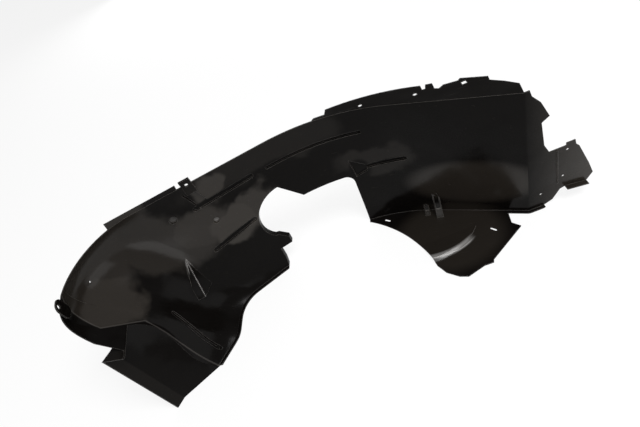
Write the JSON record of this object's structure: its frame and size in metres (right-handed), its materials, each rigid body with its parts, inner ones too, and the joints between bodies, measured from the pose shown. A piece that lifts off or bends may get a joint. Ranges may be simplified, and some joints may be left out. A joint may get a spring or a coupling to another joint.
{
  "type": "wheel arch liner",
  "caption": "Thin moulded wheel arch liner: a curved sheet round the wheel with a lip flange, strut opening, inner flap, stepped foot and forward fixing panel.",
  "frame": {"origin": "middle of the overall box, at the level of the inner edge and flap that the liner lies on", "axes": "+Z along the wheel axis towards the outside of the car, +X from the foot to the forward panel, +Y up in the car"},
  "size_m": [1.0906, 0.4765, 0.354],
  "materials": {
    "black_plastic": "gloss, lightly uneven moulded surface"
  },
  "bodies": {
    "root": {"wheel_arch_liner": "black_plastic"}
  },
  "joints": []
}
